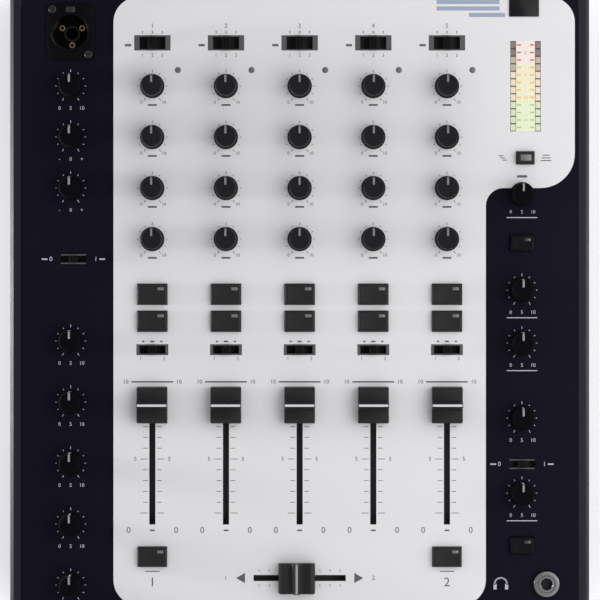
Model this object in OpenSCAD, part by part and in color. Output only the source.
// DJ mixer with five channels. A folded steel tray stands between two end cheeks, and a black
// top plate carries a pale channel panel. Knobs turn, buttons press, and switches and faders slide.
// The origin is the centre of the footprint, on the surface under the feet.
// +X is the right-hand side, +Y the rear with the sockets, +Z is up.

/* [Case] */
// Overall width over both end cheeks
body_w = 322; // [319:1:400]
// Overall depth from the front edge to the rear edge
body_d = 351; // [346:1:430]
// Height of the case, from the feet to the top plate's surface
body_h = 72; // [70:1:110]
// Thickness of each end cheek
cheek_t = 6; // [4:0.5:6.5]
// Chamfer along the outer edges of the cheeks
cheek_chamfer = 2; // [0.5:0.1:3]
// Sheet thickness of the folded tray
tray_t = 1.5; // [1:0.1:2]
// Thickness of the black top plate
plate_t = 2; // [1.5:0.1:3]
// Depth of the lips folded down from the top plate
lip_h = 10; // [6:0.5:12]
// Distance from the rear edge to the rear wall
rear_inset = 11; // [10:0.5:13]
// Height of the rubber feet
foot_h = 9; // [5:0.5:20]
// Diameter of the rubber feet
foot_d = 28; // [20:1:40]

/* [Channel panel] */
// Width of the pale panel under the five channels
panel_w = 206.8; // [205:0.1:207.5]
// Thickness of the pale panel
panel_t = 1; // [0.6:0.1:2]
// Black margin in front of the panel and behind it
panel_margin = 6.6; // [4:0.1:10]
// Radius of the panel's corners
panel_r = 14; // [8:1:16]
// Reach of the lobe at the rear right beyond the panel
lobe_w = 49.4; // [42:0.1:49.6]
// Depth of the lobe from the panel's rear edge
lobe_d = 106.1; // [98:0.1:107]
// Radius of the inner corner between the lobe and the panel
lobe_fillet = 10; // [4:0.5:14]
// Radius of the lobe's front right corner
lobe_r = 19; // [10:0.5:20]
// Distance between neighbouring channels
channel_pitch = 40.9; // [39:0.1:41]

/* [Knobs] */
// Diameter of every knob
knob_d = 13.5; // [10:0.1:16]
// Height of every knob
knob_h = 14; // [10:0.5:20]
// Gap between a knob and the surface under it
knob_gap = 0.8; // [0.4:0.1:2]
// Diameter of the steel control shafts
shaft_d = 6; // [4:0.1:7.2]
// Radial clearance of a shaft in its bush
shaft_fit = 0.05; // [0.02:0.01:0.08]
// Distance between the knob rows of a channel
knob_pitch = 28.3; // [26:0.1:28.6]

/* [Buttons and switches] */
// Width of the channel buttons
button_w = 16.5; // [12:0.1:20]
// Depth of the channel buttons
button_l = 11.4; // [8:0.1:12.8]
// Height of a released button above the panel
button_h = 3; // [2.2:0.1:5]
// Travel of a button
button_travel = 1.5; // [0.8:0.1:1.8]
// Width of the crossfader assign switches
assign_w = 17.5; // [15:0.1:20]
// Depth of the crossfader assign switches
assign_l = 5.9; // [4.5:0.1:6.5]
// Width of the input selectors
selector_w = 20; // [17:0.1:24]
// Depth of the input selectors
selector_l = 8.3; // [6.5:0.1:10]
// Travel of a slide switch to each side of its middle position
switch_travel = 4.5; // [2:0.1:4.8]

/* [Faders] */
// Travel of the channel faders
fader_travel = 60; // [45:1:72]
// Travel of the crossfader
cross_travel = 45; // [30:1:60]
// Width of a fader cap across its slot
cap_w = 17; // [14:0.1:20]
// Length of a fader cap along its slot
cap_l = 20.5; // [16:0.1:22]
// Height of a fader cap
cap_h = 11; // [8:0.1:14]
// Width of the fader slots
slot_w = 3.4; // [2.6:0.1:4]

/* [Hidden] */
$fn = 48;
channels = 5;

// Clearances
cut = 1;            // how far a cutting shape runs past a face
sheet_gap = 0.2;    // top plate to cheeks
cap_gap = 0.25;     // button to its window, and lever to its slot
bezel_gap = 0.1;    // switch bezel to its window
bush_gap = 0.2;     // bush to the hole in the plates
seat_gap = 0.02;    // between separate pieces that are fixed to each other
float_gap = 0.4;    // end of a shaft or stem above the bottom of its bore

// Levels
plate_z = foot_h + body_h;
panel_z = plate_z + panel_t;
under_z = plate_z - plate_t;
pot_h = 6.5;
board_z = under_z - pot_h;
board_t = 1.6;

// Outlines
half_d = body_d / 2;
tray_w = body_w - 2 * cheek_t;
wall_y = half_d - rear_inset;
wall_in_y = wall_y - tray_t;
tray_d = wall_y + half_d;
panel_d = body_d - 2 * panel_margin;
panel_x = panel_w / 2;
panel_rear = panel_d / 2;
plate_x = tray_w / 2 - sheet_gap;

// Columns
left_x = -panel_x - 23.8;
right_x = panel_x + 20.1;
function channel_x(c) = (c - (channels + 1) / 2) * channel_pitch;

// Fader parts that share their sizes
lever_t = 1.6;
lever_l = 5;
fader_room = 3.9;
cross_room = 0.6;
fader_slot_l = fader_travel + lever_l + 2 * fader_room;
cross_slot_l = cross_travel + lever_l + 2 * cross_room;
track_w = 13;
track_h = 10;
track_wall = 1.2;
track_end = 9;
carriage_l = 9;
carriage_room = 0.3;

// Rows, counted from the rear edge or from the front edge
selector_y = half_d - 32.1;
lamp_y = half_d - 47.2;
lamp_dx = 14.2;
knob_y = half_d - 56.2;
button_y = half_d - 171.7;
button_pitch = 15;
assign_y = half_d - 202.5;
fader_y = half_d - 233.2;
fader_mid_y = fader_y - fader_travel / 2;
track_front = fader_mid_y - fader_slot_l / 2 - track_end;
track_rear = fader_mid_y + fader_slot_l / 2 + track_end;
cross_y = 21.7 - half_d;
cross_x = -1.6;      // the crossfader rests a little left of its middle
ab_w = 16;
ab_l = 11;
ab_y = track_front - ab_l / 2 - 3.35;
function knob_row_y(r) = knob_y - r * knob_pitch;

// Left column
mic_y = half_d - 26;
mic_knob_y = [for (i = [0:2]) half_d - 56 - i * 28.3];
mic_switch_y = half_d - 152.2;
effect_knob_y = [for (i = [0:4]) half_d - 197.7 - i * 33.9];

// Right column
meter_x = [panel_x + 15.2, panel_x + 28.9];
meter_y = half_d - 56.2;
meter_l = 50;
meter_w = 3;
meter_button = [right_x + 1.8, half_d - 96, 10, 7];
output_knob_y = [for (row = [116.2, 169.4, 198.8, 240.5, 282.2]) half_d - row];
// The first output knob reaches over the lobe's edge, so it stands at the panel's level
function output_surface(i) = i == 0 ? panel_z : plate_z;
mono_button = [right_x, half_d - 143.3, 13, 9];
split_button = [right_x, half_d - 311.1, 13, 9];
cue_switch_y = half_d - 266.1;
phones_x = right_x + 13.6;
phones_y = 18.3 - half_d;
side_switch_w = 14;
side_switch_l = 5.4;

// Names and places of what repeats
row_names = ["gain", "treble", "middle", "bass"];
mic_names = ["mic_level_knob", "mic_treble_knob", "mic_bass_knob"];
effect_names = ["send_level_knob", "return_level_knob", "effect_mix_knob",
    "cross_curve_knob", "fader_curve_knob"];
output_names = ["master_level_knob", "balance_knob", "booth_level_knob",
    "cue_mix_knob", "phones_level_knob"];
function channel_knob_name(c, r) = str("ch", c, "_", row_names[r], "_knob");
function fader_name(c) = str("ch", c, "_fader");

knob_places = concat(
    [for (c = [1:channels], r = [0:3]) [channel_x(c), knob_row_y(r), panel_z]],
    [for (y = mic_knob_y) [left_x, y, plate_z]],
    [for (y = effect_knob_y) [left_x, y, plate_z]],
    [for (i = [0:4]) [right_x, output_knob_y[i], output_surface(i)]]);
channel_button_places =
    [for (c = [1:channels], i = [0:1]) [channel_x(c), button_y - i * button_pitch, button_w, button_l]];
panel_button_places = [[channel_x(1), ab_y, ab_w, ab_l], [channel_x(channels), ab_y, ab_w, ab_l],
    meter_button, mono_button, split_button];
selector_places = [for (c = [1:channels]) [channel_x(c), selector_y, selector_w, selector_l]];
assign_places = [for (c = [1:channels]) [channel_x(c), assign_y, assign_w, assign_l]];
side_switch_places = [[left_x + 1.5, mic_switch_y, side_switch_w, side_switch_l],
    [right_x, cue_switch_y, side_switch_w, side_switch_l]];

// Rear wall
rca_pitch = 14;
rca_r = 4.15;
rca_boss_r = 5;
rca_boss_h = 1.2;
rca_l = 8;
rca_pin_r = 1.7;
rca_block = 29;
block_depth = 14;
socket_z = foot_h + 36;
out_block_x = panel_x + 14.6;
jack_x = panel_x + 38.6;
jack_r = 3.2;
jack_bush_r = 4.6;
jack_zs = [socket_z - 11, socket_z + 11];
inlet_x = -panel_x - 33.6;
inlet_z = foot_h + 25;
inlet_w = 27;
inlet_h = 20;
rocker_x = -panel_x - 8.6;
rocker_w = 10;
rocker_h = 16;
rocker_tilt = 8;
rocker_pin_r = 1.2;
frame_rim = 1.6;
ground_x = channel_x(4.5);
rca_block_xs = concat([for (c = [1:channels]) channel_x(c)], [out_block_x]);

// Front, cheek and foot screws
screw_r = 1.5;
screw_hole_r = 1.6;
head_r = 2.8;
head_h = 1.8;
foot_x = body_w / 2 - 28;
foot_y = half_d - 34;
cheek_screw_ys = [-half_d + 40, 0, wall_y - 40];
cheek_screw_z = foot_h + body_h / 2;
lip_screw_xs = [-plate_x + 12, -35, 35, plate_x - 12];
lip_screw_z = under_z - lip_h / 2;

// A block centred on x and y that stands on z
module block(x, y, z, w, l, h) {
    translate([x - w / 2, y - l / 2, z]) cube([w, l, h]);
}

// A round post that stands on z
module post(x, y, z, r, h) {
    translate([x, y, z]) cylinder(r = r, h = h);
}

// A round bar along +Y that starts at y
module rear_bar(x, y, z, r, l) {
    translate([x, y, z]) rotate([-90, 0, 0]) cylinder(r = r, h = l);
}

// Rounded rectangle, centred
module rounded(w, l, r) {
    union() {
        square([w - 2 * r, l], center = true);
        square([w, l - 2 * r], center = true);
        for (i = [-1, 1], j = [-1, 1])
            translate([i * (w / 2 - r), j * (l / 2 - r)]) circle(r = r);
    }
}

// Every opening that the panel and the top plate share, as deep as h from z
module control_openings(z, h, bush_r) {
    for (k = [0:4 * channels - 1]) post(knob_places[k][0], knob_places[k][1], z, bush_r, h);
    for (p = concat(channel_button_places, [for (i = [0:2]) panel_button_places[i]]))
        block(p[0], p[1], z, p[2] + 2 * cap_gap, p[3] + 2 * cap_gap, h);
    for (p = concat(selector_places, assign_places))
        block(p[0], p[1], z, p[2] + 2 * bezel_gap, p[3] + 2 * bezel_gap, h);
    for (c = [1:channels]) {
        block(channel_x(c), fader_mid_y, z, slot_w, fader_slot_l, h);
        post(channel_x(c) + lamp_dx, lamp_y, z, lamp_r + bezel_gap, h);
    }
    block(0, cross_y, z, cross_slot_l, slot_w, h);
    for (x = meter_x)
        block(x, meter_y, z, meter_w + 2 * bezel_gap, meter_l + 2 * bezel_gap, h);
}

lamp_r = 1.6;

// Folded steel: floor, front, rear and side walls
module chassis_tray() {
    wall_h = body_h - plate_t;
    color("#1c1c22") difference() {
        block(0, (wall_y - half_d) / 2, foot_h, tray_w, tray_d, wall_h);
        block(0, (wall_y - half_d) / 2, foot_h + tray_t, tray_w - 2 * tray_t, tray_d - 2 * tray_t, wall_h);
        for (i = [-1, 1], j = [-1, 1]) post(i * foot_x, j * foot_y, foot_h - cut, screw_hole_r, tray_t + 2 * cut);
        for (i = [-1, 1], y = cheek_screw_ys) cheek_hole(i, y);
        for (x = lip_screw_xs) {
            lip_screw_hole(x, -half_d - cut);
            lip_screw_hole(x, wall_in_y - cut);
            translate([x, -half_d, lip_screw_z]) rotate([-90, 0, 0])
                cylinder(r1 = head_r + 0.1, r2 = screw_hole_r, h = tray_t);
        }
        for (x = [-60 : 10 : 60]) block(x, 20, foot_h - cut, 3, 60, tray_t + 2 * cut);
        rear_wall_openings();
    }
}

module cheek_hole(side, y) {
    translate([side * tray_w / 2, y, cheek_screw_z]) rotate([0, side * 90, 0])
        translate([0, 0, -tray_t - cut]) cylinder(r = screw_hole_r, h = tray_t + cheek_t + 2 * cut);
}

module lip_screw_hole(x, y) {
    rear_bar(x, y, lip_screw_z, screw_hole_r, 2 * tray_t + 2 * cut);
}

module rear_wall_openings() {
    depth = tray_t + 2 * cut;
    start = wall_in_y - cut;
    for (x = rca_block_xs, i = [-1, 1], j = [-1, 1])
        rear_bar(x + i * rca_pitch / 2, start, socket_z + j * rca_pitch / 2, rca_boss_r + bush_gap, depth);
    for (z = jack_zs) rear_bar(jack_x, start, z, jack_bush_r + bush_gap, depth);
    rear_bar(ground_x, start, socket_z - 20, 2 + bush_gap, depth);
    block(inlet_x, wall_y - tray_t / 2, inlet_z - inlet_h / 2 - bush_gap,
        inlet_w + 2 * bush_gap, depth, inlet_h + 2 * bush_gap);
    block(rocker_x, wall_y - tray_t / 2, inlet_z - rocker_h / 2 - frame_rim - bush_gap,
        rocker_w + 2 * frame_rim + 2 * bush_gap, depth, rocker_h + 2 * frame_rim + 2 * bush_gap);
}

// Black steel plate with a lip folded down at the front and at the rear
module top_plate() {
    color("#16151f") difference() {
        union() {
            block(0, 0, under_z, 2 * plate_x, body_d, plate_t);
            block(0, -half_d + 1.5 * tray_t, under_z - lip_h, 2 * plate_x - 2 * tray_t, tray_t, lip_h);
            block(0, wall_in_y - tray_t / 2, under_z - lip_h, 2 * plate_x - 2 * tray_t, tray_t, lip_h);
        }
        control_openings(under_z - cut, plate_t + 2 * cut, pot_bush_r + bush_gap);
        for (k = [4 * channels : len(knob_places) - 1])
            post(knob_places[k][0], knob_places[k][1], under_z - cut, pot_bush_r + bush_gap, plate_t + 2 * cut);
        for (i = [3, 4]) {
            p = panel_button_places[i];
            block(p[0], p[1], under_z - cut, p[2] + 2 * cap_gap, p[3] + 2 * cap_gap, plate_t + 2 * cut);
        }
        for (p = side_switch_places)
            block(p[0], p[1], under_z - cut, p[2] + 2 * bezel_gap, p[3] + 2 * bezel_gap, plate_t + 2 * cut);
        post(left_x, mic_y, under_z - cut, mic_r + bush_gap, plate_t + 2 * cut);
        post(phones_x, phones_y, under_z - cut, phones_bush_r + bush_gap, plate_t + 2 * cut);
        for (x = lip_screw_xs) {
            lip_screw_hole(x, -half_d);
            lip_screw_hole(x, wall_in_y - 2 * tray_t);
        }
    }
}

// Outline of the pale panel: a long rounded plate with a lobe at its rear right
module panel_outline() {
    lobe_y = panel_rear - lobe_d;
    difference() {
        union() {
            rounded(panel_w, panel_d, panel_r);
            hull() {
                translate([0, lobe_y]) square([1, lobe_d]);
                translate([panel_x + lobe_w - panel_r, panel_rear - panel_r]) circle(r = panel_r);
                translate([panel_x + lobe_w - lobe_r, lobe_y + lobe_r]) circle(r = lobe_r);
            }
            translate([panel_x - panel_r, lobe_y - lobe_fillet])
                square([panel_r + lobe_fillet, lobe_d / 2]);
        }
        translate([panel_x + lobe_fillet, lobe_y - lobe_fillet]) circle(r = lobe_fillet);
    }
}

module channel_panel() {
    color("#d6d7d9") difference() {
        translate([0, 0, plate_z]) linear_extrude(panel_t) panel_outline();
        control_openings(plate_z - cut, panel_t + 2 * cut, pot_bush_r + bush_gap);
    }
}

// Moulded end cheek; side is 1 on the right and -1 on the left
module cheek(side) {
    c = cheek_chamfer;
    color("#2b2a33") difference() {
        translate([side * (body_w / 2 - cheek_t), half_d, foot_h]) rotate([90, 0, 0]) linear_extrude(body_d)
            polygon([[0, 0], [side * (cheek_t - c), 0], [side * cheek_t, c], [side * cheek_t, body_h - c],
                [side * (cheek_t - c), body_h], [0, body_h]]);
        for (y = cheek_screw_ys) {
            cheek_hole(side, y);
            translate([side * (body_w / 2 - head_h - 0.4), y, cheek_screw_z]) rotate([0, side * 90, 0])
                cylinder(r = head_r + 0.4, h = head_h + cut);
        }
    }
}

// Control board under the plate, cut away round the faders and the two top sockets, and jack board
module circuit_boards() {
    bay_w = 4 * channel_pitch + track_w + 4;
    bay_rear = track_rear + 2;
    bay_front = track_front - 2;
    cross_bay_w = cross_slot_l + 2 * track_end + 6;
    color("#1d5a34") {
        translate([0, 0, board_z - board_t]) linear_extrude(board_t) difference() {
            translate([-panel_x - 44, -half_d + 9]) square([2 * panel_x + 88, body_d - 30]);
            translate([-bay_w / 2, bay_front]) square([bay_w, bay_rear - bay_front]);
            translate([-cross_bay_w / 2, -half_d]) square([cross_bay_w, bay_front + half_d + cut]);
            translate([left_x, mic_y]) circle(r = mic_r + 2);
            translate([phones_x - phones_body / 2 - 1, -half_d]) square([phones_body + 20, 36]);
        }
        block((rca_block_xs[0] + out_block_x) / 2, wall_in_y - block_depth - board_t / 2,
            socket_z - rca_block / 2 - 2, out_block_x - rca_block_xs[0] + rca_block, board_t, rca_block + 4);
    }
}

// One rotary potentiometer: body on the board, bush up to the surface under the knob
pot_w = 9.5;
pot_l = 11;
pot_bush_r = shaft_d / 2 + 0.65;
pot_floor = 1.2;
module pot(p) {
    difference() {
        union() {
            block(p[0], p[1], board_z, pot_w, pot_l, pot_h);
            post(p[0], p[1], board_z, pot_bush_r, p[2] - board_z);
        }
        post(p[0], p[1], board_z + pot_floor, shaft_d / 2 + shaft_fit, knob_h + pot_h);
    }
}

module knob_pots() {
    color("#5b6168") for (p = knob_places) pot(p);
}

// Slotted steel channel that guides a fader's carriage, along +Y, centred
module track(slot_l) {
    outer_l = slot_l + 2 * track_end;
    difference() {
        block(0, 0, under_z - track_h, track_w, outer_l, track_h);
        block(0, 0, under_z - track_h + track_wall, track_w - 2 * track_wall,
            outer_l - 2 * track_wall, track_h - 2 * track_wall);
        block(0, 0, under_z - 2 * track_wall, slot_w, slot_l, 3 * track_wall);
    }
}

module fader_tracks() {
    color("#8c9096") {
        for (c = [1:channels]) translate([channel_x(c), fader_mid_y, 0]) track(fader_slot_l);
        translate([0, cross_y, 0]) rotate([0, 0, 90]) track(cross_slot_l);
    }
}

// Push switch under a button: a block on the board with a guide bore for the stem
stem_r = 2.5;
push_body = 8;
push_body_h = 3.2;
module push_switch(p) {
    difference() {
        block(p[0], p[1], board_z, min(push_body, p[2] - 1), min(push_body, p[3] - 0.5), push_body_h);
        post(p[0], p[1], board_z + float_gap, stem_r + shaft_fit, push_body_h);
    }
}

// Slide switch: a body on the board whose bezel fills the window in the plates up to top_z
handle_w = 5;
bezel_rim = 0.7;
function slide_slot_w() = handle_w + 2 * switch_travel + 2 * cap_gap;
module slide_switch(p, top_z) {
    difference() {
        union() {
            block(p[0], p[1], board_z, p[2] + 3, p[3] + 2, pot_h);
            block(p[0], p[1], board_z, p[2], p[3], top_z - board_z - 0.2);
        }
        block(p[0], p[1], board_z + float_gap, slide_slot_w(), p[3] - 2 * bezel_rim, top_z - board_z);
    }
}

module switch_bodies() {
    color("#111114") {
        for (p = concat(channel_button_places, panel_button_places)) push_switch(p);
        for (p = concat(selector_places, assign_places)) slide_switch(p, panel_z);
        for (p = side_switch_places) slide_switch(p, plate_z);
    }
}

// Two pairs of phono sockets in one moulded block
module rca_block_at(x) {
    difference() {
        union() {
            block(x, wall_in_y - block_depth / 2, socket_z - rca_block / 2, rca_block, block_depth, rca_block);
            for (i = [-1, 1], j = [-1, 1]) {
                rear_bar(x + i * rca_pitch / 2, wall_in_y - cut, socket_z + j * rca_pitch / 2, rca_boss_r,
                    rca_boss_h + tray_t + cut);
                rear_bar(x + i * rca_pitch / 2, wall_y, socket_z + j * rca_pitch / 2, rca_r, rca_l);
            }
        }
        for (i = [-1, 1], j = [-1, 1])
            rear_bar(x + i * rca_pitch / 2, wall_y, socket_z + j * rca_pitch / 2, rca_pin_r, rca_l + cut);
    }
}

// 6.35 mm jack socket in the rear wall
jack_l = 25;
module rear_jack(z) {
    difference() {
        union() {
            block(jack_x, wall_in_y - 12, z - 8, 16, 24, 16);
            rear_bar(jack_x, wall_in_y - cut, z, jack_bush_r, tray_t + 3 + cut);
            rear_bar(jack_x, wall_y, z, jack_bush_r + 1.6, 1.8);
        }
        rear_bar(jack_x, wall_y + 3 - jack_l, z, jack_r, jack_l + cut);
    }
}

// Mains inlet with three blades
inlet_depth = 17;
inlet_cavity_w = 24;
inlet_cavity_h = 16.4;
inlet_flange = 1.5;
blade_w = 2;
blade_h = 4;
module mains_inlet() {
    face_y = wall_y + inlet_flange;
    difference() {
        union() {
            block(inlet_x, wall_y - 12, inlet_z - inlet_h / 2, inlet_w, 24, inlet_h);
            block(inlet_x, wall_y + inlet_flange / 2, inlet_z - inlet_h / 2 - 1.5,
                inlet_w + 3, inlet_flange, inlet_h + 3);
        }
        block(inlet_x, face_y - inlet_depth / 2 + cut, inlet_z - inlet_cavity_h / 2,
            inlet_cavity_w, inlet_depth + 2 * cut, inlet_cavity_h);
    }
    for (i = [-1, 0, 1])
        block(inlet_x + i * 7, face_y - inlet_depth / 2 - 1.5, inlet_z + (i == 0 ? 2.5 : -1.5) - blade_h / 2 + 0.5,
            blade_w, inlet_depth - 3, blade_h);
}

// Frame of the power rocker
frame_depth = 12;
rocker_gap = 0.3;
module rocker_frame() {
    outer_w = rocker_w + 2 * frame_rim;
    outer_h = rocker_h + 2 * frame_rim;
    difference() {
        union() {
            block(rocker_x, wall_y - frame_depth / 2, inlet_z - outer_h / 2, outer_w, frame_depth, outer_h);
            block(rocker_x, wall_y + 0.75, inlet_z - outer_h / 2 - 1, outer_w + 2, 1.5, outer_h + 2);
        }
        block(rocker_x, wall_y - frame_depth / 2 + 1.5, inlet_z - rocker_h / 2,
            rocker_w, frame_depth + 2, rocker_h);
        rocker_pin(rocker_pin_r + shaft_fit, rocker_w / 2 + 1.1);
    }
}

// The rocker's cross pin, also the bore for it
module rocker_pin(r, half_l) {
    translate([rocker_x - half_l, wall_y - 1, inlet_z]) rotate([0, 90, 0]) cylinder(r = r, h = 2 * half_l);
}

module ground_post() {
    rear_bar(ground_x, wall_in_y - 4, socket_z - 20, 2, tray_t + 13);
    rear_bar(ground_x, wall_y, socket_z - 20, 4, 5);
}

module rear_sockets() {
    color("#1a1a1c") {
        for (x = rca_block_xs) rca_block_at(x);
        for (z = jack_zs) rear_jack(z);
        mains_inlet();
        rocker_frame();
        ground_post();
    }
}

// Microphone socket with a flange, and the headphone socket with its nut
mic_r = 11;
mic_bore_r = 9.5;
mic_depth = 15;
mic_groove_h = 0.6;
mic_body_h = 26;
mic_flange_w = 26;
mic_flange_l = 31;
mic_flange_t = 1.6;
phones_bush_r = 4.6;
phones_nut_r = 7.2;
phones_nut_h = 2.4;
phones_body = 14;
phones_bore_l = 28;
module top_sockets() {
    phones_top = plate_z + phones_nut_h;
    color("#131318") difference() {
        union() {
            post(left_x, mic_y, plate_z - mic_body_h, mic_r, mic_body_h);
            block(left_x, mic_y, plate_z, mic_flange_w, mic_flange_l, mic_flange_t);
        }
        post(left_x, mic_y, plate_z + mic_flange_t - mic_depth, mic_bore_r, mic_depth + cut);
        post(left_x, mic_y, plate_z + mic_flange_t - mic_depth, mic_bore_r + 0.4, mic_groove_h);
        post(left_x, mic_y, plate_z - mic_body_h + 2, jack_r, mic_body_h);
        for (a = [30, 150, 270])
            translate([left_x, mic_y, plate_z - mic_depth - 6]) rotate([0, 0, a])
                translate([6.4, 0, 0]) cylinder(r = 1.3, h = 10);
    }
    color("#b9bcc4") difference() {
        union() {
            block(phones_x, phones_y, under_z - 30, phones_body, phones_body, 30);
            post(phones_x, phones_y, under_z - cut, phones_bush_r, plate_t + phones_nut_h + cut);
            post(phones_x, phones_y, plate_z, phones_nut_r, phones_nut_h);
        }
        post(phones_x, phones_y, phones_top - phones_bore_l, jack_r, phones_bore_l + cut);
    }
}

// Power supply on four pillars: board, transformer, capacitors and a heat sink
module power_supply() {
    base_z = foot_h + tray_t;
    pillar_h = 6;
    part_z = base_z + pillar_h + board_t + seat_gap;
    supply_x = -tray_w / 2 + 60;
    supply_y = wall_in_y - 88;
    color("#3a3f44") {
        for (i = [-1, 1], j = [-1, 1])
            post(supply_x + i * 44, supply_y + j * 50, base_z, 3, pillar_h - seat_gap);
        block(supply_x, supply_y, base_z + pillar_h, 96, 110, board_t);
        block(supply_x - 20, supply_y + 18, part_z, 42, 36, 26);
        block(supply_x + 22, supply_y + 20, part_z, 4, 60, 28);
        for (i = [0:2]) post(supply_x - 32 + i * 19, supply_y - 34, part_z, 8, 22);
    }
}

// Light bars of the level meter and one signal lamp for each channel
module level_lamps() {
    color("#c8b478") {
        for (x = meter_x) {
            block(x, meter_y, under_z - 3, meter_w + 3, meter_l + 3, 3);
            block(x, meter_y, under_z - cut, meter_w, meter_l, panel_z - under_z + cut);
        }
        for (c = [1:channels]) {
            post(channel_x(c) + lamp_dx, lamp_y, under_z - 3, lamp_r + 0.6, 3);
            post(channel_x(c) + lamp_dx, lamp_y, under_z - cut, lamp_r, panel_z - under_z + cut + 0.4);
        }
    }
}

foot_recess_r = 6;
foot_floor = 3;
module feet() {
    color("#18181a") for (i = [-1, 1], j = [-1, 1]) difference() {
        post(i * foot_x, j * foot_y, 0, foot_d / 2, foot_h);
        post(i * foot_x, j * foot_y, -cut, foot_recess_r, foot_h - foot_floor + cut);
        post(i * foot_x, j * foot_y, 0, screw_hole_r, foot_h + cut);
    }
}

// Pan head screw along +Z: the underside of its head is at the origin and its shank points down
module pan_screw(l) {
    cylinder(r = head_r, h = head_h);
    translate([0, 0, -l]) cylinder(r = screw_r, h = l + head_h);
}

module screws() {
    foot_screw_l = foot_floor + tray_t + 3;
    color("#a6a8ae") {
        for (i = [-1, 1], j = [-1, 1])
            translate([i * foot_x, j * foot_y, foot_h - foot_floor]) rotate([180, 0, 0]) pan_screw(foot_screw_l);
        for (i = [-1, 1], y = cheek_screw_ys)
            translate([i * (body_w / 2 - head_h - 0.4), y, cheek_screw_z]) rotate([0, i * 90, 0])
                pan_screw(cheek_t + tray_t);
        for (x = lip_screw_xs) {
            translate([x, wall_y, lip_screw_z]) rotate([-90, 0, 0]) pan_screw(6);
            translate([x, -half_d, lip_screw_z]) rotate([-90, 0, 0]) union() {
                cylinder(r1 = head_r, r2 = screw_r, h = tray_t);
                cylinder(r = screw_r, h = 6);
            }
        }
    }
}

// Knob with a pointer rib, on its own steel shaft; z is the surface that it stands over
knob_taper = 0.5;
pointer_w = 1.2;
pointer_h = 0.5;
shaft_seat = 5;
module knob(p) {
    bottom = p[2] + knob_gap;
    shaft_top = bottom + knob_h - shaft_seat;
    shaft_low = board_z + pot_floor + float_gap;
    color("#26262a") difference() {
        union() {
            translate([p[0], p[1], bottom]) cylinder(r1 = knob_d / 2, r2 = knob_d / 2 - knob_taper, h = knob_h);
            block(p[0], p[1] + knob_d / 4, bottom + knob_h - cut, pointer_w, knob_d / 2 - 2 * knob_taper,
                cut + pointer_h);
        }
        post(p[0], p[1], bottom - cut, shaft_d / 2 + seat_gap, shaft_top + seat_gap - bottom + cut);
    }
    color("#b0b3b8") post(p[0], p[1], shaft_low, shaft_d / 2, shaft_top - shaft_low);
}

// Fader along +Y with its lever at the origin: cap, steel lever and carriage
cap_gap_z = 1.2;
module fader() {
    cap_z = panel_z + cap_gap_z;
    carriage_z = under_z - track_h + track_wall + carriage_room;
    carriage_h = track_h - 2 * track_wall - 2 * carriage_room;
    lever_z = carriage_z + carriage_h + seat_gap;
    lever_top = cap_z + cap_h / 2;
    color("#252528") difference() {
        translate([-cap_w / 2, 0, cap_z]) rotate([90, 0, 90]) linear_extrude(cap_w)
            polygon([[-cap_l / 2, 0], [-cap_l / 2, cap_h * 0.45], [-cap_l * 0.36, cap_h * 0.62],
                [-cap_l * 0.14, cap_h * 0.5], [-cap_l * 0.09, cap_h], [cap_l * 0.09, cap_h],
                [cap_l * 0.14, cap_h * 0.5], [cap_l * 0.36, cap_h * 0.62], [cap_l / 2, cap_h * 0.45],
                [cap_l / 2, 0]]);
        block(0, 0, cap_z - cut, lever_t + 2 * seat_gap, lever_l + 2 * seat_gap,
            lever_top + seat_gap - cap_z + cut);
    }
    color("#a9acb1") block(0, 0, lever_z, lever_t, lever_l, lever_top - lever_z);
    color("#e6e4da") block(0, 0, carriage_z, track_w - 2 * track_wall - 2 * carriage_room, carriage_l, carriage_h);
}

// Button with a stem that runs in its push switch; z is the surface round it
module button(p, z) {
    bottom = under_z - 1.2;
    color("#252527") {
        block(p[0], p[1], bottom, p[2], p[3], z + button_h - bottom);
        post(p[0], p[1], board_z + button_travel + 2 * float_gap, stem_r, bottom - board_z - button_travel);
    }
}

// Handle of a slide switch, in its middle position
module switch_handle(p, z) {
    low = board_z + 2 * float_gap;
    color("#0e0e10") block(p[0], p[1], low, handle_w, p[3] - 2 * bezel_rim - 2 * cap_gap, z + 3.6 - low);
}

// Power rocker, tilted to its off position round the cross pin
module power_rocker() {
    color("#121214") translate([0, wall_y - 1, inlet_z]) rotate([-rocker_tilt, 0, 0])
        translate([0, 1 - wall_y, -inlet_z]) {
            block(rocker_x, wall_y - 0.5, inlet_z - rocker_h / 2 + 0.8, rocker_w - 2 * rocker_gap, 5,
                rocker_h - 1.6);
            rocker_pin(rocker_pin_r, rocker_w / 2 + 0.9);
        }
}

chassis_tray();
top_plate();
channel_panel();
cheek(-1);  // left_cheek
cheek(1);  // right_cheek
circuit_boards();
knob_pots();
fader_tracks();
switch_bodies();
rear_sockets();
top_sockets();
power_supply();
level_lamps();
feet();
screws();
for (c = [1:channels], r = [0:3])
    knob([channel_x(c), knob_row_y(r), panel_z]);
for (c = [1:channels])
    translate([channel_x(c), fader_y, 0]) fader();
translate([cross_x, cross_y, 0]) rotate([0, 0, 90]) fader();  // crossfader
for (i = [0:2])
    knob([left_x, mic_knob_y[i], plate_z]);
for (i = [0:4])
    knob([left_x, effect_knob_y[i], plate_z]);
for (i = [0:4])
    knob([right_x, output_knob_y[i], output_surface(i)]);
for (p = selector_places) switch_handle(p, panel_z);  // input_selectors
for (p = channel_button_places) button(p, panel_z);  // channel_buttons
for (p = assign_places) switch_handle(p, panel_z);  // assign_switches
union() {  // panel_buttons
    for (i = [0:2]) button(panel_button_places[i], panel_z);
    for (i = [3, 4]) button(panel_button_places[i], plate_z);
}
for (p = side_switch_places) switch_handle(p, plate_z);  // side_switches
power_rocker();
